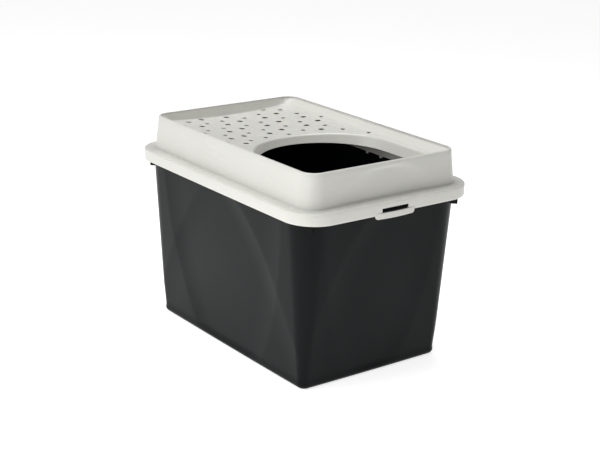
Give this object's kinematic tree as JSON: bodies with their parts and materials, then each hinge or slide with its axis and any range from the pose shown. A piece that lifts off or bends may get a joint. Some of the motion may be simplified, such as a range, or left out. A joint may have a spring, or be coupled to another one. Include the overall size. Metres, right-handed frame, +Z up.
{
  "type": "cat litter box with hood",
  "caption": "Deep rectangular litter tub with a clip-on hood that a cat enters from above through a D-shaped opening beside a perforated deck.",
  "frame": {"origin": "middle of the tub's underside, on the floor it stands on", "axes": "+X along the length towards the end with the entry opening, +Y across the width, +Z up"},
  "size_m": [0.572, 0.393, 0.404],
  "materials": {
    "tub_plastic": "satin anthracite moulded polypropylene",
    "hood_plastic": "satin warm off-white moulded polypropylene"
  },
  "bodies": {
    "tub": {"tub_shell": "tub_plastic", "tub_rim": "tub_plastic", "snap_catch_front": "tub_plastic", "snap_catch_rear": "tub_plastic", "corner_lug_front_right": "tub_plastic", "corner_lug_front_left": "tub_plastic", "corner_lug_rear_right": "tub_plastic", "corner_lug_rear_left": "tub_plastic"},
    "hood": {"hood_flange": "hood_plastic", "strap_window_front": "hood_plastic", "strap_window_rear": "hood_plastic", "hood_wall": "hood_plastic", "hood_top_rim": "hood_plastic", "hood_inner_slope": "hood_plastic", "perforated_deck": "hood_plastic", "entry_collar": "hood_plastic", "locating_tab_right_rear": "hood_plastic", "locating_tab_left_rear": "hood_plastic", "locating_tab_right_front": "hood_plastic", "locating_tab_left_front": "hood_plastic"},
    "strap_front": {"snap_strap_front": "hood_plastic"},
    "strap_rear": {"snap_strap_rear": "hood_plastic"}
  },
  "joints": [
    {"name": "hood_lift", "type": "slide", "parent": "tub", "child": "hood", "axis": [0, 0, 1], "range_m": [0, 0.15]},
    {"name": "front_strap_flex", "type": "hinge", "parent": "hood", "child": "strap_front", "pos_m": [0.2862, 0, 0.3235], "axis": [0, -1, 0], "range_deg": [0, 10], "stiffness_Nm_per_rad": 2},
    {"name": "rear_strap_flex", "type": "hinge", "parent": "hood", "child": "strap_rear", "pos_m": [-0.2862, 0, 0.3235], "axis": [0, 1, 0], "range_deg": [0, 10], "stiffness_Nm_per_rad": 2}
  ]
}
